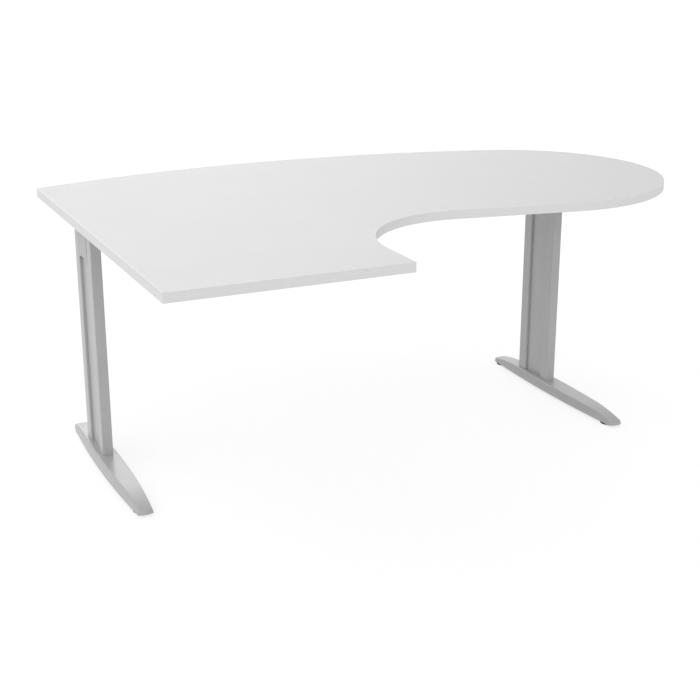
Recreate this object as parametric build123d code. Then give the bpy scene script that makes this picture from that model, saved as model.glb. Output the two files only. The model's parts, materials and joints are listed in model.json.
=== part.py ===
from build123d import *
import math
import os

# An office desk: a bowed back edge, a deep working side on the left and a round meeting end
# on the right, carried by two legs with long feet. Everything is drawn in millimetres,
# with x to the right along the front, y towards the back and z up. The drawing origin is on
# the floor below the left back corner of the desktop. The last step moves it to the floor
# below the middle of the whole desk.

# Desktop plan. The back edge bows out past the straight line through the left back corner,
# and setbacks are measured forward from that line. The corner reach is how far behind the
# front edge the inner corner would lie if it were drawn sharp.
overall_length = 1800.0
side_depth = 1200.0
front_width = 600.0
back_bow = 120.0
bow_peak = 755.0
end_radius = 425.0
pocket_radius = 300.0
corner_reach = 497.0

# Desktop section
desk_height = 740.0
board_thickness = 25.0
band_thickness = 2.0
band_rounding = 1.0

# Leg places
left_leg_inset = 73.0
right_leg_inset = 246.0
column_setback = 184.5

# Posts and the flat box section between them
post_width = 40.0
post_depth = 30.0
post_wall = 2.0
post_rounding = 3.0
post_gap = 89.0
post_seat_height = 29.0
web_recess = 8.0
web_thickness = 1.5
web_rounding = 2.0

# Head of the column, between the posts and below the support arm
head_height = 84.0
head_wall = 3.0
head_rounding = 4.0
cover_thickness = 3.0
cover_slit = 3.0
cover_slit_length = 77.0
cover_arch_rounding = 14.0
cover_horn = 1.5

# Foot
foot_setback = 33.0
foot_length = 689.0
foot_mid_width = 70.5
foot_tip_width = 43.0
foot_end_curve = 41.5
foot_draft = 6.0
foot_underside = 6.5
foot_top_height = 33.5
foot_nose_length = 151.0
foot_nose_drop = 16.3
foot_corner_rounding = 5.5
foot_shoulder_rounding = 4.2
foot_wall = 4.0

# Screws and nut plates between foot and posts
post_bolt_diameter = 6.0
post_bolt_spacing = 18.0
post_bolt_head_diameter = 10.0
post_bolt_head_height = 6.0
post_bolt_seat_height = 18.0
nut_plate_thickness = 8.0

# Levelling glides
rear_glide_inset = 30.0
front_glide_inset = 46.0
glide_pad_diameter = 45.0
glide_pad_height = 4.0
glide_pad_rounding = 1.2
glide_socket_depth = 2.0
glide_stud_diameter = 8.0
glide_stud_top = 17.5
glide_hex_across = 13.0
glide_hex_sides = 6
glide_insert_diameter = 12.0
glide_insert_height = 9.0
glide_boss_diameter = 22.0

# Support arms below the desktop
arm_height = 40.0
arm_setback = 60.0
arm_length = 560.0
arm_wall = 2.0
arm_rounding = 3.0
arm_screw_count = 4
cap_flange = 3.0
cap_plug_length = 12.0
cap_plug_wall = 2.5

# Crossbeams between the arms, and the plates that bolt them to the arms
beam_depth = 20.0
beam_wall = 2.0
beam_rounding = 2.5
rear_beam_inset = 90.0
front_beam_inset = 140.0
beam_screw_count = 3
end_plate_width = 80.0
end_plate_thickness = 4.0
end_bolt_diameter = 6.0
end_bolt_spacing = 56.0
end_bolt_head_diameter = 10.5
end_bolt_head_height = 3.3
end_bolt_protrusion = 1.0
weld_nut_across = 10.0
weld_nut_thickness = 5.0

# Screws into the desktop
screw_diameter = 4.5
screw_bite = 18.0
screw_head_diameter = 9.0
screw_head_height = 3.0
screw_access_diameter = 13.0
screw_margin = 45.0

# Clearances, each on one side, and how far a cutter runs past what it cuts
thread_clearance = 0.05
turn_clearance = 0.1
socket_clearance = 0.2
hole_clearance = 0.3
rest_clearance = 0.3
cut_overrun = 5.0

# Heights and places that follow from the sizes above
board_underside = desk_height - board_thickness
column_top = board_underside - arm_height
head_bottom = column_top - head_height
arm_middle_z = column_top + arm_height / 2
column_width = 2 * post_width + post_gap
column_y = -column_setback - column_width / 2
post_offset = (post_gap + post_width) / 2
post_bore_width = post_width - 2 * post_wall
post_bore_depth = post_depth - 2 * post_wall
leg_x = {"left": left_leg_inset, "right": overall_length - right_leg_inset}
inward = {"left": 1, "right": -1}
arm_back = -arm_setback
arm_front = arm_back - arm_length
beam_y = {"rear": arm_back - rear_beam_inset, "front": arm_front + front_beam_inset}
foot_back = -foot_setback
foot_front = foot_back - foot_length
glide_y = {"rear": foot_back - rear_glide_inset, "front": foot_front + front_glide_inset}
nose_radius = (foot_nose_length ** 2 + foot_nose_drop ** 2) / (2 * foot_nose_drop)

# Circles of the desktop outline: the back bow and the round end that meets it smoothly. The
# straight sitting edge runs from the sharp inner corner to where it touches the round end,
# and the pocket's circle rounds that corner.
back_radius = (bow_peak ** 2 + back_bow ** 2) / (2 * back_bow)
back_centre = Vector(bow_peak, back_bow - back_radius)
end_x = overall_length - end_radius
end_rise = math.sqrt((back_radius - end_radius) ** 2 - (end_x - bow_peak) ** 2)
end_centre = Vector(end_x, back_centre.Y + end_rise)
inner_corner = Vector(front_width, corner_reach - side_depth)
corner_line = end_centre - inner_corner
corner_bearing = math.atan2(corner_line.Y, corner_line.X)
edge_bearing = corner_bearing - math.asin(end_radius / corner_line.length)
edge_angle = edge_bearing + math.pi / 2
pocket_drop = pocket_radius / math.tan(edge_angle / 2)
pocket_centre = inner_corner + Vector(pocket_radius, -pocket_drop)


def toward(angle, distance):
    """A step in the plan, at an angle from the x axis."""
    return Vector(math.cos(angle), math.sin(angle)) * distance


def block(x_range, y_range, z_range):
    """A box between two limits along each axis, given in either order."""
    ranges = (x_range, y_range, z_range)
    sizes = [abs(second - first) for first, second in ranges]
    middle = [(first + second) / 2 for first, second in ranges]
    return Pos(*middle) * Box(*sizes)


def about(middle, size):
    """The two limits of a size centred on a place."""
    return middle - size / 2, middle + size / 2


def upright_rod(x, y, z_range, diameter):
    """A round bar that stands at a place in the plan."""
    low, high = z_range
    return Pos(x, y, (low + high) / 2) * Cylinder(diameter / 2, high - low)


def cross_rod(x_range, y, z, diameter):
    """A round bar along x, between limits in either order."""
    first, second = x_range
    rod = Plane.YZ * Cylinder(diameter / 2, abs(second - first))
    return Pos((first + second) / 2, y, z) * rod


def tube_section(width, height, wall, rounding):
    """The section of a rectangular tube with rounded corners."""
    bore = RectangleRounded(width - 2 * wall, height - 2 * wall, rounding - wall)
    return RectangleRounded(width, height, rounding) - bore


def desktop_plan(inset):
    """The desktop's plan, drawn a distance inside its outer edge."""
    back_reach = back_radius - inset
    end_reach = end_radius - inset
    pocket_reach = pocket_radius + inset
    corner_rise = math.sqrt(back_reach ** 2 - (bow_peak - inset) ** 2)
    back_corner = Vector(inset, back_centre.Y + corner_rise)
    corner_direction = (back_corner - back_centre).normalized()
    join_direction = (end_centre - back_centre).normalized()
    middle_direction = (corner_direction + join_direction).normalized()
    back_join = back_centre + join_direction * back_reach
    end_join = end_centre - toward(edge_angle, end_reach)
    pocket_join = pocket_centre + toward(edge_angle, pocket_reach)
    pocket_middle = pocket_centre + toward((edge_angle + math.pi) / 2, pocket_reach)
    pocket_end = pocket_centre - Vector(pocket_reach, 0)
    front_right = Vector(front_width - inset, inset - side_depth)
    front_left = Vector(inset, inset - side_depth)
    return make_face(Wire([
        ThreePointArc(back_corner, back_centre + middle_direction * back_reach, back_join),
        ThreePointArc(back_join, end_centre + Vector(end_reach, 0), end_join),
        Line(end_join, pocket_join),
        ThreePointArc(pocket_join, pocket_middle, pocket_end),
        Line(pocket_end, front_right),
        Line(front_right, front_left),
        Line(front_left, back_corner),
    ]))


def arm_screw_places(side):
    """Where the screws that hold one support arm enter the desktop."""
    first = arm_back - screw_margin
    step = (arm_length - 2 * screw_margin) / (arm_screw_count - 1)
    return [(leg_x[side], first - step * index) for index in range(arm_screw_count)]


def beam_limits():
    """Where the crossbeams start and stop along x."""
    reach = post_depth / 2 + end_plate_thickness
    return tuple(leg_x[side] + inward[side] * reach for side in ("left", "right"))


def beam_screw_places(end):
    """Where the screws that hold one crossbeam enter the desktop."""
    left, right = beam_limits()
    step = (right - left) / (beam_screw_count + 1)
    return [(left + step * (index + 1), beam_y[end]) for index in range(beam_screw_count)]


def desktop_screw(x, y):
    """A wood screw, with its head inside the tube that it holds."""
    seat = board_underside - arm_wall
    head = upright_rod(x, y, (seat - screw_head_height, seat), screw_head_diameter)
    return head + upright_rod(x, y, (seat, board_underside + screw_bite), screw_diameter)


def drill_for_screws(tube, places):
    """Cut each screw's hole through a tube's top and its access hole through the bottom."""
    for x, y in places:
        shank_hole = screw_diameter + 2 * hole_clearance
        tube -= upright_rod(x, y, (arm_middle_z, board_underside + cut_overrun), shank_hole)
        tube -= upright_rod(x, y, (column_top - cut_overrun, arm_middle_z), screw_access_diameter)
    return tube


def make_desktop():
    """The board with its screw holes, and the three strips glued round its edge."""
    whole = Pos(0, 0, board_underside) * extrude(desktop_plan(0), amount=board_thickness)
    board = Pos(0, 0, board_underside) * extrude(
        desktop_plan(band_thickness), amount=board_thickness
    )
    level_edges = whole.edges().filter_by(
        lambda edge: abs(edge.center().Z - board_underside - board_thickness / 2)
        > board_thickness / 3
    )
    corner_edges = whole.edges().filter_by(Axis.Z).filter_by(
        lambda edge: edge.center().X < band_thickness
        or edge.center().Y < band_thickness - side_depth
    )
    strips = fillet(level_edges + corner_edges, band_rounding) - board
    z_range = (board_underside - cut_overrun, desk_height + cut_overrun)
    y_front = -side_depth - cut_overrun
    side_slice = block((-cut_overrun, band_thickness), (y_front, back_bow), z_range)
    front_slice = block(
        (band_thickness, front_width + cut_overrun), (y_front, band_thickness - side_depth), z_range
    )
    hole_size = screw_diameter + 2 * thread_clearance
    hole_range = (board_underside - cut_overrun, board_underside + screw_bite + rest_clearance)
    places = arm_screw_places("left") + arm_screw_places("right")
    places += beam_screw_places("rear") + beam_screw_places("front")
    for x, y in places:
        board -= upright_rod(x, y, hole_range, hole_size)
    return {
        "desktop_board": board,
        "desktop_side_band": strips & side_slice,
        "desktop_front_band": strips & front_slice,
        "desktop_contour_band": strips - side_slice - front_slice,
    }


def foot_plan(narrowing):
    """The foot's plan, with bulging sides, curved ends and small rounded corners."""
    middle = foot_mid_width / 2 - narrowing
    tip = foot_tip_width / 2 - narrowing
    back = foot_back - narrowing
    front = foot_front + narrowing
    halfway = (back + front) / 2
    end_reach = foot_end_curve - narrowing
    end_bow = end_reach - math.sqrt(end_reach ** 2 - tip ** 2)
    back_side = back - end_bow
    front_side = front + end_bow
    plan = make_face(Wire([
        ThreePointArc((tip, front_side), (middle, halfway), (tip, back_side)),
        ThreePointArc((tip, back_side), (0, back), (-tip, back_side)),
        ThreePointArc((-tip, back_side), (-middle, halfway), (-tip, front_side)),
        ThreePointArc((-tip, front_side), (0, front), (tip, front_side)),
    ]))
    return fillet(plan.vertices(), foot_corner_rounding)


def foot_side(inset):
    """A foot's side view, level along the middle with both noses curving down."""
    reach = nose_radius - inset
    rise = math.sqrt(reach ** 2 - foot_nose_length ** 2)
    centre_z = foot_top_height - nose_radius
    half_turn = math.asin(foot_nose_length / reach) / 2
    level = foot_top_height - inset
    front_start = foot_front + foot_nose_length
    back_start = foot_back - foot_nose_length
    swing = Vector(reach * math.sin(half_turn), centre_z + reach * math.cos(half_turn))
    return make_face(Wire([
        Line((foot_front, 0), (foot_front, centre_z + rise)),
        ThreePointArc(
            (foot_front, centre_z + rise), (front_start - swing.X, swing.Y), (front_start, level)
        ),
        Line((front_start, level), (back_start, level)),
        ThreePointArc(
            (back_start, level), (back_start + swing.X, swing.Y), (foot_back, centre_z + rise)
        ),
        Line((foot_back, centre_z + rise), (foot_back, 0)),
        Line((foot_back, 0), (foot_front, 0)),
    ]))


def foot_body(inset):
    """A foot's solid with sloped sides and its side view cut out of them."""
    loft_height = foot_top_height + foot_wall
    slope = foot_draft / (foot_top_height - foot_underside)
    bottom = Pos(0, 0, foot_underside) * foot_plan(inset)
    top = Pos(0, 0, loft_height) * foot_plan(inset + slope * (loft_height - foot_underside))
    side = extrude(Plane.YZ * foot_side(inset), amount=foot_mid_width, both=True)
    return loft([bottom, top], ruled=True) & side


def rounded_foot_body():
    """The foot's outer solid, with soft shoulders all round its top."""
    body = foot_body(0)
    tops = body.faces().filter_by(lambda face: face.normal_at().Z > 0.9)
    seams = (foot_front + foot_nose_length / 2, foot_back - foot_nose_length / 2)
    shoulders = tops.edges().filter_by(
        lambda edge: edge.geom_type != GeomType.LINE
        or not seams[0] < edge.center().Y < seams[1]
    )
    return fillet(shoulders, foot_shoulder_rounding)


def post_places():
    """The y of each post's middle."""
    return {"rear": column_y + post_offset, "front": column_y - post_offset}


def post_bolt_places():
    """The y of each screw between a foot and its posts."""
    middles = post_places().values()
    return [middle + swing * post_bolt_spacing / 2 for middle in middles for swing in (1, -1)]


def make_foot():
    """A cast foot, open below, with bosses for the glides and sockets for the posts."""
    body = rounded_foot_body()
    full_height = (foot_underside, foot_top_height)
    bosses = [upright_rod(0, y, full_height, glide_boss_diameter) for y in glide_y.values()]
    for y in post_places().values():
        sizes = (post_depth + 2 * foot_wall, post_width + 2 * foot_wall)
        bosses.append(block(about(0, sizes[0]), about(y, sizes[1]), full_height))
    foot = body - foot_body(foot_wall)
    for boss in bosses:
        foot += boss & body
    below = foot_underside - cut_overrun
    socket = RectangleRounded(
        post_depth + 2 * socket_clearance,
        post_width + 2 * socket_clearance,
        post_rounding + socket_clearance,
    )
    for y in post_places().values():
        foot -= Pos(0, y, post_seat_height) * extrude(socket, amount=foot_top_height)
    for y in post_bolt_places():
        shank_hole = post_bolt_diameter + 2 * hole_clearance
        head_hole = post_bolt_head_diameter + 2 * hole_clearance
        foot -= upright_rod(0, y, (below, foot_top_height), shank_hole)
        foot -= upright_rod(0, y, (below, post_bolt_seat_height), head_hole)
    for y in glide_y.values():
        insert_hole = glide_insert_diameter + 2 * thread_clearance
        stud_hole = glide_stud_diameter + 2 * thread_clearance
        foot -= upright_rod(0, y, (below, foot_underside + glide_insert_height), insert_hole)
        foot -= upright_rod(0, y, (below, glide_stud_top + rest_clearance), stud_hole)
    return foot


def make_post():
    """One steel tube, standing in the foot's socket up to the support arm."""
    section = tube_section(post_depth, post_width, post_wall, post_rounding)
    return Pos(0, 0, post_seat_height) * extrude(section, amount=column_top - post_seat_height)


def make_nut_plate(y):
    """The threaded plate welded into the bottom of one post."""
    outline = RectangleRounded(
        post_bore_depth - 2 * thread_clearance,
        post_bore_width - 2 * thread_clearance,
        post_rounding - post_wall,
    )
    plate = Pos(0, y, post_seat_height) * extrude(outline, amount=nut_plate_thickness)
    for bolt_y in post_bolt_places():
        plate -= upright_rod(
            0,
            bolt_y,
            (post_seat_height - cut_overrun, post_seat_height + nut_plate_thickness + cut_overrun),
            post_bolt_diameter + 2 * thread_clearance,
        )
    return plate


def make_post_bolt(y):
    """A cap screw from below the foot into a post's nut plate."""
    seat = post_bolt_seat_height
    top = post_seat_height + nut_plate_thickness
    head = upright_rod(0, y, (seat - post_bolt_head_height, seat), post_bolt_head_diameter)
    return head + upright_rod(0, y, (seat, top), post_bolt_diameter)


def make_head_bracket():
    """The short upright box that joins the two posts below the arm."""
    depth = post_depth - 2 * cover_thickness
    section = tube_section(depth, post_gap, head_wall, head_rounding)
    return Pos(0, column_y, head_bottom) * extrude(section, amount=head_height)


def make_head_cover(face):
    """A flush cover on one face of the head bracket, with an arched lower edge and a slit
    along each side of its upper part."""
    width = post_gap - 2 * rest_clearance
    drop = cover_arch_rounding
    plate = Pos(0, (column_top + head_bottom - drop) / 2) * Rectangle(width, head_height + drop)
    arch_height = 2 * (drop + cut_overrun)
    arch = RectangleRounded(width - 2 * cover_horn, arch_height, drop)
    outline = plate - Pos(0, head_bottom - arch_height / 2) * arch
    for swing in (1, -1):
        slit = Rectangle(cover_slit, cover_slit_length)
        middle = (width - cover_slit) / 2
        outline -= Pos(swing * middle, column_top - cover_slit_length / 2) * slit
    outside = Plane(
        origin=(face * post_depth / 2, column_y, 0), x_dir=(0, face, 0), z_dir=(face, 0, 0)
    )
    return extrude(outside * outline, amount=-cover_thickness)


def make_web():
    """The flat box section between the posts, from the foot's top up to the head bracket."""
    low = foot_top_height + rest_clearance
    depth = post_depth - 2 * web_recess
    section = tube_section(depth, post_gap, web_thickness, web_rounding)
    return Pos(0, column_y, low) * extrude(section, amount=head_bottom - low)


def make_arm(side):
    """The tube on top of one column, drilled for its screws and for the crossbeams."""
    section = tube_section(post_depth, arm_height, arm_wall, arm_rounding)
    back_end = Plane(
        origin=(leg_x[side], arm_back, arm_middle_z), x_dir=(1, 0, 0), z_dir=(0, -1, 0)
    )
    arm = drill_for_screws(extrude(back_end * section, amount=arm_length), arm_screw_places(side))
    outside = leg_x[side] + inward[side] * (post_depth / 2 + cut_overrun)
    for y in end_bolt_places():
        hole = end_bolt_diameter + 2 * hole_clearance
        arm -= cross_rod((leg_x[side], outside), y, arm_middle_z, hole)
    return arm


def make_arm_caps(side):
    """The plugs that close both ends of a support arm."""
    plug_size = (post_depth - 2 * arm_wall, arm_height - 2 * arm_wall)
    plug_section = tube_section(
        plug_size[0] - 2 * socket_clearance,
        plug_size[1] - 2 * socket_clearance,
        cap_plug_wall,
        arm_rounding,
    )
    flange = RectangleRounded(post_depth, arm_height, arm_rounding)
    caps = []
    for end_y, outward in ((arm_back, 1), (arm_front, -1)):
        face = Plane(
            origin=(leg_x[side], end_y, arm_middle_z), x_dir=(1, 0, 0), z_dir=(0, outward, 0)
        )
        cap = extrude(face * flange, amount=cap_flange)
        caps.append(cap + extrude(face * plug_section, amount=-cap_plug_length))
    return caps


def end_bolt_places():
    """The y of each bolt between an arm and the crossbeams' end plates."""
    middles = beam_y.values()
    return [middle + swing * end_bolt_spacing / 2 for middle in middles for swing in (1, -1)]


def make_beam(end):
    """One crossbeam tube, drilled for its screws."""
    left, right = beam_limits()
    section = tube_section(beam_depth, arm_height, beam_wall, beam_rounding)
    start = Plane(origin=(left, beam_y[end], arm_middle_z), x_dir=(0, 1, 0), z_dir=(1, 0, 0))
    return drill_for_screws(extrude(start * section, amount=right - left), beam_screw_places(end))


def make_end_plate(side, end):
    """The plate welded to one end of a crossbeam."""
    arm_face = leg_x[side] + inward[side] * post_depth / 2
    beam_face = arm_face + inward[side] * end_plate_thickness
    z_range = (column_top, board_underside)
    plate = block((arm_face, beam_face), about(beam_y[end], end_plate_width), z_range)
    outside = beam_face + inward[side] * cut_overrun
    for y in end_bolt_places():
        hole = end_bolt_diameter + 2 * hole_clearance
        plate -= cross_rod((leg_x[side], outside), y, arm_middle_z, hole)
    return plate


def make_end_bolt(side, y):
    """A button-headed bolt through an end plate and an arm's wall."""
    direction = inward[side]
    seat = leg_x[side] + direction * (post_depth / 2 + end_plate_thickness)
    grip = end_plate_thickness + arm_wall + weld_nut_thickness + end_bolt_protrusion
    head_range = (seat, seat + direction * end_bolt_head_height)
    head = cross_rod(head_range, y, arm_middle_z, end_bolt_head_diameter)
    shank = cross_rod((seat, seat - direction * grip), y, arm_middle_z, end_bolt_diameter)
    return head + shank


def make_weld_nut(side, y):
    """A square nut welded inside an arm's wall."""
    wall = leg_x[side] + inward[side] * (post_depth / 2 - arm_wall)
    far = wall - inward[side] * weld_nut_thickness
    z_range = about(arm_middle_z, weld_nut_across)
    nut = block((wall, far), about(y, weld_nut_across), z_range)
    bore = end_bolt_diameter + 2 * thread_clearance
    return nut - cross_rod((wall, far), y, arm_middle_z, bore)


def make_glide_insert(y):
    """The threaded sleeve pressed into a foot's boss."""
    z_range = (foot_underside, foot_underside + glide_insert_height)
    bore = glide_stud_diameter + 2 * thread_clearance
    return upright_rod(0, y, z_range, glide_insert_diameter) - upright_rod(0, y, z_range, bore)


def make_glide_pad(y):
    """The round pad that stands on the floor, with a socket for its stud."""
    pad = upright_rod(0, y, (0, glide_pad_height), glide_pad_diameter)
    pad = fillet(pad.edges().sort_by(Axis.Z)[-1], glide_pad_rounding)
    socket = glide_stud_diameter + 2 * thread_clearance
    return pad - upright_rod(0, y, (glide_pad_height - glide_socket_depth, foot_underside), socket)


def make_glide_stud(y):
    """The screw of a glide, with the hexagon that a spanner turns."""
    foot_z = glide_pad_height - glide_socket_depth + turn_clearance
    stud = upright_rod(0, y, (foot_z, glide_stud_top), glide_stud_diameter)
    hex_bottom = glide_pad_height + turn_clearance
    hex_height = foot_underside - rest_clearance - hex_bottom
    hexagon = RegularPolygon(glide_hex_across / 2, glide_hex_sides, major_radius=False)
    return stud + Pos(0, y, hex_bottom) * extrude(hexagon, amount=hex_height)


def make_leg(side):
    """Every piece of one leg, named for its side."""
    place = Pos(leg_x[side], 0, 0)
    posts = post_places()
    pieces = {
        "foot": make_foot(),
        "rear_post": Pos(0, posts["rear"], 0) * make_post(),
        "front_post": Pos(0, posts["front"], 0) * make_post(),
        "web_panel": make_web(),
        "head_bracket": make_head_bracket(),
        "outer_head_cover": make_head_cover(-inward[side]),
        "inner_head_cover": make_head_cover(inward[side]),
        "post_nut_plates": Compound([make_nut_plate(y) for y in posts.values()]),
        "post_bolts": Compound([make_post_bolt(y) for y in post_bolt_places()]),
        "glide_inserts": Compound([make_glide_insert(y) for y in glide_y.values()]),
    }
    for end, y in glide_y.items():
        pieces[f"{end}_glide_pad"] = make_glide_pad(y)
        pieces[f"{end}_glide_stud"] = make_glide_stud(y)
    named = {f"{side}_{name}": place * piece for name, piece in pieces.items()}
    named[f"{side}_support_arm"] = make_arm(side)
    named[f"{side}_arm_end_caps"] = Compound(make_arm_caps(side))
    named[f"{side}_arm_screws"] = Compound(
        [desktop_screw(x, y) for x, y in arm_screw_places(side)]
    )
    return named


def make_crossbeams():
    """Both crossbeams and what fastens them to the arms and to the desktop."""
    sides = leg_x.keys()
    ends = beam_y.keys()
    bolts = [(side, y) for side in sides for y in end_bolt_places()]
    screws = beam_screw_places("rear") + beam_screw_places("front")
    return {
        "rear_crossbeam": make_beam("rear"),
        "front_crossbeam": make_beam("front"),
        "crossbeam_end_plates": Compound(
            [make_end_plate(side, end) for side in sides for end in ends]
        ),
        "crossbeam_bolts": Compound([make_end_bolt(side, y) for side, y in bolts]),
        "crossbeam_weld_nuts": Compound([make_weld_nut(side, y) for side, y in bolts]),
        "crossbeam_screws": Compound([desktop_screw(x, y) for x, y in screws]),
    }


def main():
    """Build every piece, move the origin below the desk's middle and write the files."""
    pieces = make_desktop() | make_leg("left") | make_leg("right") | make_crossbeams()
    to_middle = Pos(-overall_length / 2, (side_depth - back_bow) / 2, 0)
    os.makedirs("parts", exist_ok=True)
    for name, piece in pieces.items():
        export_step(to_middle * piece, f"parts/{name}.step")


if __name__ == "__main__":
    main()
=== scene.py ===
import json
import math
from collections import namedtuple

import bmesh
import bpy
from mathutils import Matrix, Vector


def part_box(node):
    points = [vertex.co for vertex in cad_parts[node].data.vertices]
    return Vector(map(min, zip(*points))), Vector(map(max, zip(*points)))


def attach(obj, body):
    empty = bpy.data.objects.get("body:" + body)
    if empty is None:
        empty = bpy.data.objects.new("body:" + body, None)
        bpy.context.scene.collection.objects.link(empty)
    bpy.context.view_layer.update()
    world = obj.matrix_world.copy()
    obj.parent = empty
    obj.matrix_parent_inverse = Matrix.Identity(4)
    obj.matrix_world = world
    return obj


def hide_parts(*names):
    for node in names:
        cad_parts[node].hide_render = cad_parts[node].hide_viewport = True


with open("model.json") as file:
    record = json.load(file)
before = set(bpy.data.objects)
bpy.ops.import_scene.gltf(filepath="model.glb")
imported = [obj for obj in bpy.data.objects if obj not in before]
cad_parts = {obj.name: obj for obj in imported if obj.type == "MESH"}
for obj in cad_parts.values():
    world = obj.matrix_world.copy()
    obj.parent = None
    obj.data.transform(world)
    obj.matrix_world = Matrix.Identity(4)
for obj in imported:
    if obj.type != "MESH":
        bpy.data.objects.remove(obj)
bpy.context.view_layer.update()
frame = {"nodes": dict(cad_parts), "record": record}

# Camera, solved from the outline of the desktop in the photograph
CAMERA_PLACE = (-1.6625, -3.2177, 1.4959)
CAMERA_TILT = math.radians(71.522)
CAMERA_TURN = math.radians(-25.050)
CAMERA_LENS = 67.60
CAMERA_SENSOR = 36.0

MM = 0.001
TURN = 2.0 * math.pi
MERGE_DISTANCE = 0.001 * MM
SIDES = ("left", "right")
ENDS = ("rear", "front")
FIXED_BODY = "desk_frame"
SLOTS = {row["node"]: row["material_slot"] for row in frame["record"]["subparts"]}


def camera():
    """The photograph's camera."""
    data = bpy.data.cameras.new("photo_camera")
    data.lens = CAMERA_LENS
    data.sensor_width = CAMERA_SENSOR
    data.sensor_fit = "HORIZONTAL"
    obj = bpy.data.objects.new("photo_camera", data)
    obj.location = CAMERA_PLACE
    obj.rotation_euler = (CAMERA_TILT, 0.0, CAMERA_TURN)
    bpy.context.scene.collection.objects.link(obj)
    bpy.context.scene.camera = obj


# The span in which nearly all values of a noise lie
NOISE_LOW = 0.3
NOISE_HIGH = 0.7


class Nodes:
    """A short way to add and join the nodes of one material or world."""

    def __init__(self, tree):
        self.tree = tree
        tree.nodes.clear()

    def add(self, kind, settings=(), **inputs):
        node = self.tree.nodes.new(kind)
        for name, value in settings:
            setattr(node, name, value)
        for name, value in inputs.items():
            self.put(node, name.replace("_", " "), value)
        return node

    def put(self, node, name, value):
        """Join a socket to an input, or set the input to a value."""
        socket = node.inputs[name]
        if isinstance(value, bpy.types.NodeSocket):
            self.tree.links.new(value, socket)
        else:
            socket.default_value = value

    def math(self, operation, *values):
        """One arithmetic step on numbers or sockets."""
        node = self.add("ShaderNodeMath", [("operation", operation)])
        for index, value in enumerate(values):
            self.put(node, index, value)
        return node.outputs[0]

    def noise(self, place, scale, detail=2.0):
        """Noise at a scale, in features per metre."""
        node = self.add("ShaderNodeTexNoise", Vector=place, Scale=scale, Detail=detail)
        return node.outputs["Fac"]

    def cells(self, place, scale):
        """One random number for each small cell, at a scale in cells per metre."""
        node = self.add("ShaderNodeTexVoronoi", Vector=place, Scale=scale)
        return self.add("ShaderNodeSeparateXYZ", Vector=node.outputs["Color"]).outputs["X"]

    def spread(self, value, low, high, start=0.0, end=1.0):
        """A number between start and end, stretched to run from low to high."""
        node = self.add("ShaderNodeMapRange", Value=value)
        self.put(node, "From Min", start)
        self.put(node, "From Max", end)
        self.put(node, "To Min", low)
        self.put(node, "To Max", high)
        return node.outputs["Result"]

    def vary(self, noise, low, high):
        """A noise stretched to run from low to high."""
        return self.spread(noise, low, high, NOISE_LOW, NOISE_HIGH)


def grey(level):
    """A neutral colour."""
    return (level, level, level, 1.0)


# One bump: a socket with its height, how strongly it shows, and its depth in millimetres
Bump = namedtuple("Bump", "height strength depth")


class Finish:
    """A material in the making, with the object's own coordinates and a Principled shader."""

    def __init__(self, name):
        self.material = bpy.data.materials.new(name)
        self.material.use_nodes = True
        self.nodes = Nodes(self.material.node_tree)
        self.place = self.nodes.add("ShaderNodeTexCoord").outputs["Object"]
        self.shader = self.nodes.add("ShaderNodeBsdfPrincipled")
        output = self.nodes.add("ShaderNodeOutputMaterial")
        self.nodes.put(output, "Surface", self.shader.outputs["BSDF"])

    def colour(self, colour, *factors):
        """The base colour, made lighter and darker by the factors."""
        level = factors[0]
        for factor in factors[1:]:
            level = self.nodes.math("MULTIPLY", level, factor)
        tinted = self.nodes.add("ShaderNodeVectorMath", [("operation", "SCALE")])
        tinted.inputs[0].default_value = colour
        self.nodes.put(tinted, "Scale", level)
        self.nodes.put(self.shader, "Base Color", tinted.outputs[0])

    def relief(self, *bumps):
        """Bumps on top of each other."""
        normal = None
        for height, strength, depth in bumps:
            bump = self.nodes.add("ShaderNodeBump", Height=height, Strength=strength)
            self.nodes.put(bump, "Distance", depth * MM)
            if normal is not None:
                self.nodes.put(bump, "Normal", normal)
            normal = bump.outputs["Normal"]
        self.nodes.put(self.shader, "Normal", normal)

    def set(self, **values):
        """Plain values, or the roughness as a socket, set straight on the shader."""
        for name, value in values.items():
            self.nodes.put(self.shader, name.replace("_", " "), value)


# How bright each finish is, from the photograph
BOARD_LEVEL = 0.68
BAND_LEVEL = 0.80
STEEL_LEVEL = 0.50
FOOT_LEVEL = 0.47
CAP_LEVEL = 0.50
BLACK = (0.010, 0.010, 0.011)
ZINC = (0.60, 0.61, 0.62)

# How much coarser the silver coat's large flakes and its dust are than its fine flakes, and how
# much blue it has
COARSE_FLAKE_SIZE = 2.7
DUST_SIZE = 1.6
SILVER_BLUE = 1.004

# The edging's grain is drawn out along the edge, so it is this much denser upwards
BAND_STRETCH = (1.0, 1.0, 14.0)


def melamine(name, level):
    """Light grey melamine with a fine pearl texture pressed into it."""
    finish = Finish(name)
    nodes = finish.nodes
    pearl = nodes.noise(finish.place, scale=1100.0, detail=3.0)
    ripple = nodes.noise(finish.place, scale=260.0, detail=1.0)
    flecks = nodes.cells(finish.place, scale=900.0)
    clouds = nodes.noise(finish.place, scale=5.0)
    finish.colour(
        (level,) * 3,
        nodes.spread(flecks, low=0.985, high=1.015),
        nodes.vary(clouds, low=0.99, high=1.01),
    )
    finish.relief(
        Bump(ripple, strength=0.10, depth=0.3),
        Bump(pearl, strength=0.18, depth=0.12),
    )
    finish.set(Roughness=nodes.vary(pearl, low=0.40, high=0.56))
    return finish.material


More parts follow.
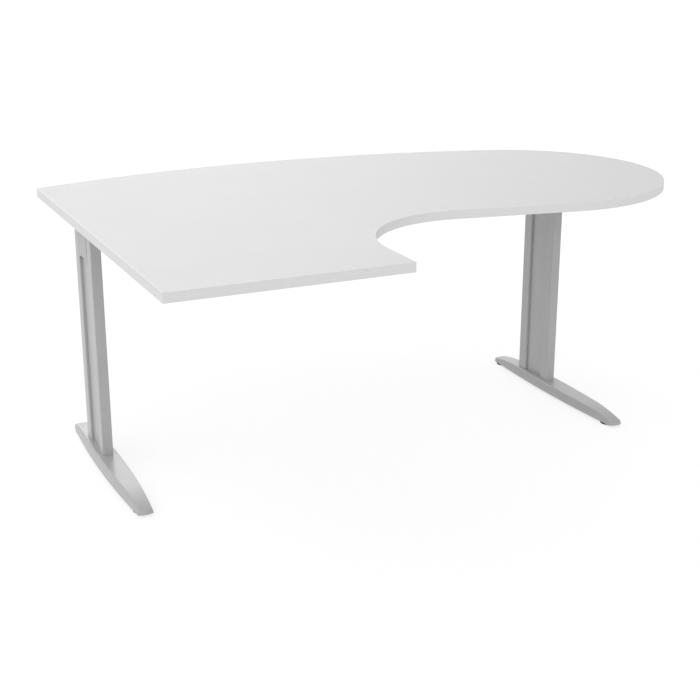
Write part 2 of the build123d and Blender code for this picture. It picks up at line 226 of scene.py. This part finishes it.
def edging(name, level):
    """The plastic edging, a little smoother than the board, with a fine extruded grain."""
    finish = Finish(name)
    nodes = finish.nodes
    stretched = nodes.add("ShaderNodeMapping", Vector=finish.place)
    nodes.put(stretched, "Scale", BAND_STRETCH)
    drawn = nodes.noise(stretched.outputs[0], scale=160.0)
    grain = nodes.noise(finish.place, scale=900.0)
    finish.colour(
        (level,) * 3,
        nodes.vary(drawn, low=0.992, high=1.008),
        nodes.vary(grain, low=0.992, high=1.008),
    )
    finish.relief(
        Bump(drawn, strength=0.06, depth=0.1),
        Bump(grain, strength=0.10, depth=0.08),
    )
    finish.set(Roughness=nodes.vary(grain, low=0.36, high=0.48))
    return finish.material


def silver_coat(name, level, flake_scale, peel_scale, roughness, gloss):
    """Silver powder coat: bright flakes in a lacquer that dried with a slight orange peel."""
    finish = Finish(name)
    nodes = finish.nodes
    flakes = nodes.cells(finish.place, scale=flake_scale)
    coarse = nodes.cells(finish.place, scale=flake_scale / COARSE_FLAKE_SIZE)
    dust = nodes.noise(finish.place, scale=flake_scale / DUST_SIZE, detail=3.0)
    peel = nodes.noise(finish.place, scale=peel_scale, detail=1.5)
    broad = nodes.noise(finish.place, scale=7.0)
    finish.colour(
        (level, level, level * SILVER_BLUE),
        nodes.spread(flakes, low=0.93, high=1.07),
        nodes.spread(coarse, low=0.97, high=1.03),
        nodes.vary(broad, low=0.985, high=1.015),
    )
    finish.relief(
        Bump(peel, strength=0.22, depth=0.25),
        Bump(dust, strength=0.14, depth=0.06),
    )
    finish.set(
        Roughness=nodes.spread(flakes, low=roughness - 0.06, high=roughness + 0.06),
        Specular_IOR_Level=gloss,
    )
    return finish.material


def moulded_plastic(name, colour, roughness, erosion_scale, erosion_depth, gloss):
    """Moulded plastic with a fine spark-eroded texture and slightly shinier worn spots."""
    finish = Finish(name)
    nodes = finish.nodes
    erosion = nodes.noise(finish.place, scale=erosion_scale, detail=4.0)
    wear = nodes.noise(finish.place, scale=60.0, detail=3.0)
    finish.colour(
        colour,
        nodes.vary(erosion, low=0.95, high=1.05),
        nodes.vary(wear, low=0.97, high=1.03),
    )
    finish.relief(Bump(erosion, strength=0.25, depth=erosion_depth))
    finish.set(
        Roughness=nodes.vary(wear, low=roughness - 0.08, high=roughness + 0.06),
        Specular_IOR_Level=gloss,
    )
    return finish.material


def zinc_plating(name):
    """Bright zinc plating: fine crystals and a faint cloudy passivation."""
    finish = Finish(name)
    nodes = finish.nodes
    crystals = nodes.cells(finish.place, scale=1800.0)
    clouds = nodes.noise(finish.place, scale=140.0, detail=3.0)
    scratches = nodes.noise(finish.place, scale=2600.0)
    finish.colour(
        ZINC,
        nodes.spread(crystals, low=0.94, high=1.06),
        nodes.vary(clouds, low=0.92, high=1.06),
    )
    finish.relief(Bump(scratches, strength=0.12, depth=0.04))
    finish.set(Roughness=nodes.vary(clouds, low=0.26, high=0.42), Metallic=0.92)
    return finish.material


# How each slot is made, and with what
FINISHES = {
    "melamine_board": (melamine, {"level": BOARD_LEVEL}),
    "edge_band": (edging, {"level": BAND_LEVEL}),
    "steel_silver": (silver_coat, {
        "level": STEEL_LEVEL, "flake_scale": 2400.0, "peel_scale": 330.0,
        "roughness": 0.32, "gloss": 0.5,
    }),
    "foot_cast": (silver_coat, {
        "level": FOOT_LEVEL, "flake_scale": 2200.0, "peel_scale": 240.0,
        "roughness": 0.27, "gloss": 0.60,
    }),
    "plastic_silver": (moulded_plastic, {
        "colour": (CAP_LEVEL,) * 3, "erosion_scale": 1500.0, "erosion_depth": 0.06,
        "roughness": 0.42, "gloss": 0.5,
    }),
    "plastic_black": (moulded_plastic, {
        "colour": BLACK, "erosion_scale": 1300.0, "erosion_depth": 0.08,
        "roughness": 0.55, "gloss": 0.25,
    }),
    "steel_zinc": (zinc_plating, {}),
}
MATERIALS = {slot: make(slot, **values) for slot, (make, values) in FINISHES.items()}


def dress(obj, slot):
    """Give an object the finish of a slot."""
    if obj.material_slots:
        for material_slot in obj.material_slots:
            material_slot.material = MATERIALS[slot]
    else:
        obj.data.materials.append(MATERIALS[slot])


def solids(node):
    """The lowest and highest corner of every separate solid in a CAD node, in metres."""
    builder = bmesh.new()
    builder.from_mesh(frame["nodes"][node].data)
    bmesh.ops.remove_doubles(builder, verts=builder.verts, dist=MERGE_DISTANCE)
    waiting = set(builder.verts)
    boxes = []
    while waiting:
        group = [waiting.pop()]
        for vert in group:
            for edge in vert.link_edges:
                other = edge.other_vert(vert)
                if other in waiting:
                    waiting.remove(other)
                    group.append(other)
        spans = [[vert.co[axis] for vert in group] for axis in range(3)]
        boxes.append((Vector(map(min, spans)), Vector(map(max, spans))))
    builder.free()
    return sorted(boxes, key=lambda box: tuple(box[0]))


# Faces that meet at more degrees than this keep a sharp edge
SMOOTH_ANGLE = 40.0


def finished_piece(name, builder, slot, body, replaced=()):
    """Turn a bmesh into a dressed piece that rides on a body and stands for CAD nodes."""
    mesh = bpy.data.meshes.new(name)
    bmesh.ops.recalc_face_normals(builder, faces=builder.faces)
    builder.to_mesh(mesh)
    builder.free()
    mesh.shade_smooth()
    mesh.set_sharp_from_angle(angle=math.radians(SMOOTH_ANGLE))
    obj = bpy.data.objects.new(name, mesh)
    bpy.context.scene.collection.objects.link(obj)
    dress(obj, slot)
    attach(obj, body)
    if replaced:
        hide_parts(*replaced)


def turned(builder, rings, count, place):
    """Join rings round the z axis into a closed solid. A ring is a height in millimetres and a
    radius, or a function that gives the radius at an angle."""
    loops = []
    for height, radius in rings:
        loop = []
        for index in range(count):
            angle = TURN * index / count
            reach = radius(angle) if callable(radius) else radius
            point = Vector((reach * math.cos(angle), reach * math.sin(angle), height)) * MM
            loop.append(builder.verts.new(place @ point))
        loops.append(loop)
    for low, high in zip(loops, loops[1:]):
        for index in range(count):
            after = (index + 1) % count
            builder.faces.new((low[index], low[after], high[after], high[index]))
    builder.faces.new(loops[0][::-1])
    builder.faces.new(loops[-1])


def hexagon(across, limit=math.inf):
    """The radius at an angle of a hexagon, turned off at a limit."""
    def radius(angle):
        swing = (angle + math.pi / 6) % (math.pi / 3) - math.pi / 6
        return min(across / 2 / math.cos(swing), limit)
    return radius


def fluted(outer, depth, flutes):
    """The radius at an angle of a round rim with shallow scallops."""
    def radius(angle):
        return outer - depth * math.sin(angle * flutes / 2) ** 2
    return radius


def cross_recess(reach, arm):
    """The radius at an angle of a cross, for a screwdriver."""
    def radius(angle):
        swing = abs((angle + math.pi / 4) % (math.pi / 2) - math.pi / 4)
        if reach * math.tan(swing) <= arm / 2:
            return reach / math.cos(swing)
        return arm / 2 / math.sin(swing)
    return radius


# How steep a thread's flanks are, and the share of its width that a screw's point ends with
THREAD_STEEPNESS = 1.15
POINT_TIP = 0.12


def thread(low, high, crest, root, pitch, steps, point=0.0):
    """Rings of a screw thread that fades in and out, and tapers over the length of its point.
    The steps are the rings for each turn of the thread."""
    count = max(round((high - low) / pitch * steps), steps)
    rings = []
    for index in range(count + 1):
        height = low + (high - low) * index / count
        fade = min(1.0, (height - low) / pitch, (high - height) / pitch)
        taper = min(1.0, POINT_TIP + (high - height) / point) if point else 1.0

        def radius(angle, height=height, fade=fade, taper=taper):
            phase = (height / pitch - angle / TURN) % 1.0
            ridge = max(0.0, 1.0 - abs(2.0 * phase - 1.0) * THREAD_STEEPNESS)
            return taper * (root + (crest - root) * fade * ridge)
        rings.append((height, radius))
    return rings


# Glide pads, in millimetres. Their width and height come from their CAD solids.
PAD_CORNERS = 144
PAD_FLUTES = 36
PAD_FLUTE_DEPTH = 0.35
PAD_HOLLOW = 0.8
PAD_FOOTING = 4.0
PAD_CHAMFER = 0.3
PAD_SHOULDER = 0.5
PAD_GROOVE_DEPTH = 0.35
PAD_SOCKET_RADIUS = 4.03
PAD_SOCKET_DEPTH = 2.0
# The middle of the hollow, and the groove's edges from the outside in, as shares of the radius
PAD_HOLLOW_MIDDLE = 0.25
PAD_GROOVE_EDGES = (0.80, 0.78, 0.71, 0.69)
# The rounding of the shoulder, as shares of it: how far below the top and in from the rim
PAD_SHOULDER_CURVE = ((0.45, 0.25), (0.12, 0.7), (0.0, 1.3))


def glide_pad(side, end):
    """A round foot with a fluted rim, a hollow underside and a groove on top."""
    node = f"{side}_{end}_glide_pad"
    low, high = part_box(node)
    radius = (high.x - low.x) / 2 / MM
    height = (high.z - low.z) / MM
    groove_floor = height - PAD_GROOVE_DEPTH
    groove = [radius * share for share in PAD_GROOVE_EDGES]
    rim = fluted(radius, PAD_FLUTE_DEPTH, PAD_FLUTES)
    chamfered_rim = fluted(radius - PAD_CHAMFER, PAD_FLUTE_DEPTH, PAD_FLUTES)
    underside = [
        (PAD_HOLLOW, radius * PAD_HOLLOW_MIDDLE),
        (PAD_HOLLOW, radius - PAD_FOOTING - PAD_CHAMFER),
        (0.0, radius - PAD_FOOTING),
        (0.0, radius - 2 * PAD_CHAMFER),
        (PAD_CHAMFER, chamfered_rim),
        (2 * PAD_CHAMFER, rim),
        (height - PAD_SHOULDER, rim),
    ]
    shoulder = [
        (height - PAD_SHOULDER * drop, radius - PAD_SHOULDER * inset)
        for drop, inset in PAD_SHOULDER_CURVE
    ]
    top = [
        (height, groove[0]),
        (groove_floor, groove[1]),
        (groove_floor, groove[2]),
        (height, groove[3]),
        (height, PAD_SOCKET_RADIUS + PAD_GROOVE_DEPTH),
        (groove_floor, PAD_SOCKET_RADIUS),
        (height - PAD_SOCKET_DEPTH, PAD_SOCKET_RADIUS),
    ]
    builder = bmesh.new()
    centre = (low + high) / 2
    place = Matrix.Translation((centre.x, centre.y, low.z))
    turned(builder, underside + shoulder + top, PAD_CORNERS, place)
    finished_piece(f"{node}_moulded", builder, SLOTS[node], f"{side}_{end}_pad", (node,))


# Glide studs, in millimetres. Their length comes from their CAD solids.
STUD_CORNERS = 72
STUD_RADIUS = 4.0
STUD_PITCH = 1.25
STUD_THREAD_DEPTH = 0.6
STUD_THREAD_STEPS = 8
HEX_ACROSS = 13.0
HEX_TURNED = 7.25
HEX_CHAMFER = 0.4
HEX_PAD_GAP = 0.1
HEX_FOOT_GAP = 0.3


def glide_stud(side, end):
    """A levelling screw with a chamfered hexagon and a rolled thread."""
    node = f"{side}_{end}_glide_stud"
    low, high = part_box(node)
    pad_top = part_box(f"{side}_{end}_glide_pad")[1].z
    foot_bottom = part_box(f"{side}_foot")[0].z
    top = (high.z - low.z) / MM
    hex_low = (pad_top - low.z) / MM + HEX_PAD_GAP
    hex_high = (foot_bottom - low.z) / MM - HEX_FOOT_GAP
    root = STUD_RADIUS - STUD_THREAD_DEPTH
    neck = STUD_RADIUS - HEX_CHAMFER / 2
    rings = [
        (0.0, STUD_RADIUS - 2 * HEX_CHAMFER),
        (HEX_CHAMFER, neck),
        (hex_low, neck),
        (hex_low, hexagon(HEX_ACROSS, HEX_TURNED - 2 * HEX_CHAMFER)),
        (hex_low + HEX_CHAMFER, hexagon(HEX_ACROSS, HEX_TURNED)),
        (hex_high - HEX_CHAMFER, hexagon(HEX_ACROSS, HEX_TURNED)),
        (hex_high, hexagon(HEX_ACROSS, HEX_TURNED - 2 * HEX_CHAMFER)),
    ]
    rings += thread(hex_high, top - HEX_CHAMFER, STUD_RADIUS, root, STUD_PITCH, STUD_THREAD_STEPS)
    rings += [(top, root - HEX_CHAMFER)]
    builder = bmesh.new()
    centre = (low + high) / 2
    turned(builder, rings, STUD_CORNERS, Matrix.Translation((centre.x, centre.y, low.z)))
    finished_piece(f"{node}_threaded", builder, SLOTS[node], f"{side}_{end}_stud", (node,))


# Bolts, in millimetres. Their lengths and head widths come from their CAD solids.
BOLT_CORNERS = 72
BOLT_RADIUS = 3.0
BOLT_PITCH = 1.0
BOLT_THREAD_DEPTH = 0.55
BOLT_ROOT = BOLT_RADIUS - BOLT_THREAD_DEPTH
BOLT_EDGE = 0.4
BOLT_BEVEL = 1.5 * BOLT_EDGE
CAP_HEAD_HEIGHT = 6.0
CAP_HEAD_KNURLS = 24
CAP_HEAD_KNURL_DEPTH = 0.22
CAP_KEY_ACROSS = 5.0
CAP_KEY_DEPTH = 3.0
CAP_THREAD_STEPS = 4
BUTTON_HEAD_HEIGHT = 3.3
BUTTON_DOME_STEPS = 6
BUTTON_KEY_ACROSS = 4.0
BUTTON_KEY_DEPTH = 1.9
BUTTON_THREAD_STEPS = 5


def bolt_thread(start, length, steps):
    """A bolt's thread from a height to its end, with the rings of the end."""
    turns = thread(start, length - BOLT_EDGE, BOLT_RADIUS, BOLT_ROOT, BOLT_PITCH, steps)
    return turns + [(length, BOLT_ROOT - BOLT_EDGE)]


def cap_screw_rings(length, head_radius):
    """A socket cap screw with a knurled head, its head at the bottom."""
    knurled = fluted(head_radius, CAP_HEAD_KNURL_DEPTH, CAP_HEAD_KNURLS)
    thread_start = CAP_HEAD_HEIGHT + 2 * BOLT_PITCH
    return [
        (CAP_KEY_DEPTH, hexagon(CAP_KEY_ACROSS)),
        (BOLT_EDGE, hexagon(CAP_KEY_ACROSS)),
        (0.0, CAP_KEY_ACROSS / 2 + BOLT_BEVEL),
        (0.0, head_radius - BOLT_BEVEL),
        (BOLT_EDGE, head_radius - BOLT_EDGE / 2),
        (2 * BOLT_EDGE, knurled),
        (CAP_HEAD_HEIGHT - BOLT_EDGE, knurled),
        (CAP_HEAD_HEIGHT, head_radius - BOLT_EDGE),
        (CAP_HEAD_HEIGHT, BOLT_RADIUS),
        (thread_start, BOLT_RADIUS),
    ] + bolt_thread(thread_start, length, CAP_THREAD_STEPS)


def button_bolt_rings(length, head_radius):
    """A button-headed bolt, its dome at the bottom."""
    thread_start = BUTTON_HEAD_HEIGHT + BOLT_PITCH
    crown = BUTTON_KEY_ACROSS / 2 + 2 * BOLT_EDGE
    recess = [
        (BUTTON_KEY_DEPTH, hexagon(BUTTON_KEY_ACROSS)),
        (BOLT_EDGE / 2, hexagon(BUTTON_KEY_ACROSS)),
        (0.0, BUTTON_KEY_ACROSS / 2 + BOLT_BEVEL),
    ]
    dome = []
    for index in range(BUTTON_DOME_STEPS + 1):
        turn = math.pi / 2 * index / BUTTON_DOME_STEPS
        height = (BUTTON_HEAD_HEIGHT - BOLT_EDGE) * (1.0 - math.cos(turn))
        dome.append((height, crown + (head_radius - crown) * math.sin(turn)))
    neck = [
        (BUTTON_HEAD_HEIGHT, head_radius - BOLT_EDGE / 2),
        (BUTTON_HEAD_HEIGHT, BOLT_RADIUS),
        (thread_start, BOLT_RADIUS),
    ]
    return recess + dome + neck + bolt_thread(thread_start, length, BUTTON_THREAD_STEPS)


# Wood screws, in millimetres. Their lengths and head widths come from their CAD solids.
SCREW_CORNERS = 48
SCREW_RADIUS = 2.25
SCREW_PITCH = 2.0
SCREW_THREAD_DEPTH = 0.7
SCREW_THREAD_STEPS = 6
SCREW_POINT = 5.0
SCREW_PLAIN = 2.5
SCREW_HEAD_HEIGHT = 3.0
SCREW_CROSS_DEPTH = 1.8
SCREW_CROSS_REACH = 2.6
SCREW_CROSS_ARM = 1.0
# The cross at the bottom of its recess, and the plain shank, as shares of the mouth and the root
SCREW_CROSS_REACH_SHARE = 0.45
SCREW_CROSS_ARM_SHARE = 0.7
SCREW_SHANK_SHARE = 1.12
# The rounding of the pan head, in shares of its height and its radius
SCREW_HEAD_CURVE = ((0.0, 0.68), (0.10, 0.84), (0.32, 0.95), (0.62, 1.0), (1.0, 0.99))


def wood_screw_rings(length, head_radius):
    """A pan-headed wood screw with a cross recess and a sharp point, its head at the bottom."""
    plain_end = SCREW_HEAD_HEIGHT + SCREW_PLAIN
    root = SCREW_RADIUS - SCREW_THREAD_DEPTH
    shank = root * SCREW_SHANK_SHARE
    recess_end = cross_recess(
        SCREW_CROSS_REACH * SCREW_CROSS_REACH_SHARE, SCREW_CROSS_ARM * SCREW_CROSS_ARM_SHARE
    )
    recess = [
        (SCREW_CROSS_DEPTH, recess_end),
        (0.0, cross_recess(SCREW_CROSS_REACH, SCREW_CROSS_ARM)),
    ]
    head = [(SCREW_HEAD_HEIGHT * rise, head_radius * reach) for rise, reach in SCREW_HEAD_CURVE]
    plain = [(SCREW_HEAD_HEIGHT, shank), (plain_end, shank)]
    return recess + head + plain + thread(
        plain_end, length, SCREW_RADIUS, root, SCREW_PITCH, SCREW_THREAD_STEPS, SCREW_POINT
    )


def standing(low, high):
    """The place of a screw that stands with its head at the bottom, its length and head radius."""
    middle = (low + high) / 2
    place = Matrix.Translation((middle.x, middle.y, low.z))
    return place, (high.z - low.z) / MM, (high.x - low.x) / 2 / MM


def lying(low, high):
    """The place of a bolt that lies along x with its head towards the middle of the desk, its
    length and head radius."""
    middle = (low + high) / 2
    outward = math.copysign(1.0, middle.x)
    head_x = low.x if outward > 0.0 else high.x
    place = Matrix.Translation((head_x, middle.y, middle.z))
    place @= Matrix.Rotation(math.copysign(math.pi / 2, outward), 4, "Y")
    return place, (high.x - low.x) / MM, (high.z - low.z) / 2 / MM


def fasteners(node, rings, corners, placing):
    """One piece for a CAD node that holds a group of like bolts or screws."""
    builder = bmesh.new()
    for low, high in solids(node):
        place, length, head_radius = placing(low, high)
        turned(builder, rings(length, head_radius), corners, place)
    finished_piece(f"{node}_detailed", builder, SLOTS[node], FIXED_BODY, (node,))


# Weld beads, in millimetres
WELD_CORNERS = 12
WELD_STEP = 0.4
WELD_RADIUS = 2.0
WELD_TIP_RADIUS = 0.2
WELD_START_SHARE = 0.55
WELD_RIPPLE = 1.6
WELD_RIPPLE_DEPTH = 0.22
WELD_MARGIN = 3.0


def weld(builder, start, end):
    """A rippled bead along a straight joint, thinner at its ends."""
    way = (end - start).normalized()
    length = (end - start).length / MM
    count = round(length / WELD_STEP)
    rings = [(0.0, WELD_TIP_RADIUS)]
    for index in range(count + 1):
        along = length * index / count
        ease = min(1.0, WELD_START_SHARE + min(along, length - along) / WELD_MARGIN)
        wave = abs(math.sin(math.pi * along / WELD_RIPPLE))
        rings.append((along, WELD_RADIUS * ease - WELD_RIPPLE_DEPTH * (1.0 - wave)))
    rings.append((length, WELD_TIP_RADIUS))
    place = Matrix.Translation(start) @ way.to_track_quat("Z", "Y").to_matrix().to_4x4()
    turned(builder, rings, WELD_CORNERS, place)


def beam_welds(end):
    """The beads up both sides of a crossbeam, where it meets its end plates."""
    low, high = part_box(f"{end}_crossbeam")
    bottom = low.z + WELD_MARGIN * MM
    top = high.z - WELD_MARGIN * MM
    builder = bmesh.new()
    for x in (low.x, high.x):
        for y in (low.y, high.y):
            weld(builder, Vector((x, y, bottom)), Vector((x, y, top)))
    finished_piece(f"{end}_crossbeam_welds", builder, SLOTS[f"{end}_crossbeam"], FIXED_BODY)


def column_welds(side):
    """The beads across the outer faces of both posts, where they meet the support arm."""
    builder = bmesh.new()
    for end in ENDS:
        low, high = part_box(f"{side}_{end}_post")
        y = high.y if end == "rear" else low.y
        start = Vector((low.x + WELD_MARGIN * MM, y, high.z))
        weld(builder, start, Vector((high.x - WELD_MARGIN * MM, y, high.z)))
    finished_piece(f"{side}_column_welds", builder, SLOTS[f"{side}_rear_post"], FIXED_BODY)


# Edges that the CAD solids leave sharp, and how far they are broken, in millimetres
BROKEN_EDGES = {
    "outer_head_cover": 0.5,
    "inner_head_cover": 0.5,
    "arm_end_caps": 0.7,
}
BROKEN_EDGE_SEGMENTS = 3
BROKEN_EDGE_ANGLE = 50.0


def break_edges(obj, width):
    """Round the sharp edges of a CAD node with modifiers."""
    joined = obj.modifiers.new("joined", "WELD")
    joined.merge_threshold = MERGE_DISTANCE
    rounded = obj.modifiers.new("rounded", "BEVEL")
    rounded.width = width * MM
    rounded.segments = BROKEN_EDGE_SEGMENTS
    rounded.limit_method = "ANGLE"
    rounded.angle_limit = math.radians(BROKEN_EDGE_ANGLE)
    rounded.harden_normals = True


def clear_rays(nodes):
    """One where the ray comes from the camera, a mirror or through glass."""
    path = nodes.add("ShaderNodeLightPath")
    clear = path.outputs["Is Camera Ray"]
    for kind in ("Is Glossy Ray", "Is Transmission Ray"):
        clear = nodes.math("MAXIMUM", clear, path.outputs[kind])
    return clear


FLOOR_HALF = 30.0
FLOOR_LEVEL = 0.78
FLOOR_SHADOW_SHARE = 0.30
FLOOR_GLOW = 0.76


def floor():
    """A plain pale floor that stays white and keeps a faint shadow."""
    mesh = bpy.data.meshes.new("floor")
    signs = ((-1, -1), (1, -1), (1, 1), (-1, 1))
    mesh.from_pydata([(x * FLOOR_HALF, y * FLOOR_HALF, 0.0) for x, y in signs], [], [(0, 1, 2, 3)])
    obj = bpy.data.objects.new("floor", mesh)
    bpy.context.scene.collection.objects.link(obj)
    material = bpy.data.materials.new("pale_floor")
    material.use_nodes = True
    nodes = Nodes(material.node_tree)
    plain = nodes.add("ShaderNodeBsdfDiffuse", Color=grey(FLOOR_LEVEL))
    thin = nodes.add("ShaderNodeBsdfDiffuse", Color=grey(FLOOR_SHADOW_SHARE))
    glow = nodes.add("ShaderNodeEmission", Color=grey(1.0), Strength=FLOOR_GLOW)
    lit = nodes.add("ShaderNodeAddShader")
    nodes.put(lit, 0, thin.outputs[0])
    nodes.put(lit, 1, glow.outputs[0])
    both = nodes.add("ShaderNodeMixShader")
    nodes.put(both, 0, clear_rays(nodes))
    nodes.put(both, 1, plain.outputs[0])
    nodes.put(both, 2, lit.outputs[0])
    output = nodes.add("ShaderNodeOutputMaterial")
    nodes.put(output, "Surface", both.outputs[0])
    mesh.materials.append(material)


# The studio's soft lights: bearing from the x axis and height in degrees, how narrow, how strong
SKY_LEVEL = 0.386
SOFT_LIGHTS = {
    "back": (75.0, 32.0, 12.0, 1.20),
    "low_back": (75.0, 17.0, 20.0, 1.35),
    "back_left": (120.0, 33.0, 12.0, 0.84),
    "left": (165.0, 24.0, 8.0, 0.52),
    "high_left": (180.0, 60.0, 8.0, 0.64),
    "front_left": (220.0, 12.0, 6.0, 0.42),
    "front": (262.0, 12.0, 6.0, 0.62),
    "high_front": (265.0, 52.0, 6.0, 0.53),
    "front_right": (320.0, 18.0, 6.0, 0.26),
}


def direction(bearing, height):
    """A unit vector towards a bearing and a height in degrees."""
    turn, rise = math.radians(bearing), math.radians(height)
    return (math.cos(turn) * math.cos(rise), math.sin(turn) * math.cos(rise), math.sin(rise))


def sky():
    """A studio of soft lights all round, seen by the camera as plain white."""
    world = bpy.data.worlds.new("studio")
    bpy.context.scene.world = world
    world.use_nodes = True
    nodes = Nodes(world.node_tree)
    way = nodes.add("ShaderNodeTexCoord").outputs["Generated"]
    total = SKY_LEVEL
    for bearing, height, narrowness, strength in SOFT_LIGHTS.values():
        facing = nodes.add("ShaderNodeVectorMath", [("operation", "DOT_PRODUCT")])
        nodes.put(facing, 0, way)
        nodes.put(facing, 1, direction(bearing, height))
        share = nodes.math("POWER", nodes.math("MAXIMUM", facing.outputs["Value"], 0.0), narrowness)
        total = nodes.math("ADD", total, nodes.math("MULTIPLY", share, strength))
    light = nodes.add("ShaderNodeBackground", Color=grey(1.0), Strength=total)
    white = nodes.add("ShaderNodeBackground", Color=grey(1.0), Strength=1.0)
    both = nodes.add("ShaderNodeMixShader")
    nodes.put(both, 0, nodes.add("ShaderNodeLightPath").outputs["Is Camera Ray"])
    nodes.put(both, 1, light.outputs[0])
    nodes.put(both, 2, white.outputs[0])
    output = nodes.add("ShaderNodeOutputWorld")
    nodes.put(output, "Surface", both.outputs[0])


def build():
    """Dress the CAD nodes and add the detailed hardware."""
    for node, obj in frame["nodes"].items():
        dress(obj, SLOTS[node])
    for side in SIDES:
        for end in ENDS:
            glide_pad(side, end)
            glide_stud(side, end)
        fasteners(f"{side}_post_bolts", cap_screw_rings, BOLT_CORNERS, standing)
        fasteners(f"{side}_arm_screws", wood_screw_rings, SCREW_CORNERS, standing)
        column_welds(side)
        for piece, width in BROKEN_EDGES.items():
            break_edges(frame["nodes"][f"{side}_{piece}"], width)
    fasteners("crossbeam_screws", wood_screw_rings, SCREW_CORNERS, standing)
    fasteners("crossbeam_bolts", button_bolt_rings, BOLT_CORNERS, lying)
    for end in ENDS:
        beam_welds(end)


bpy.context.scene.view_settings.view_transform = "Standard"
camera()
build()
floor()
sky()
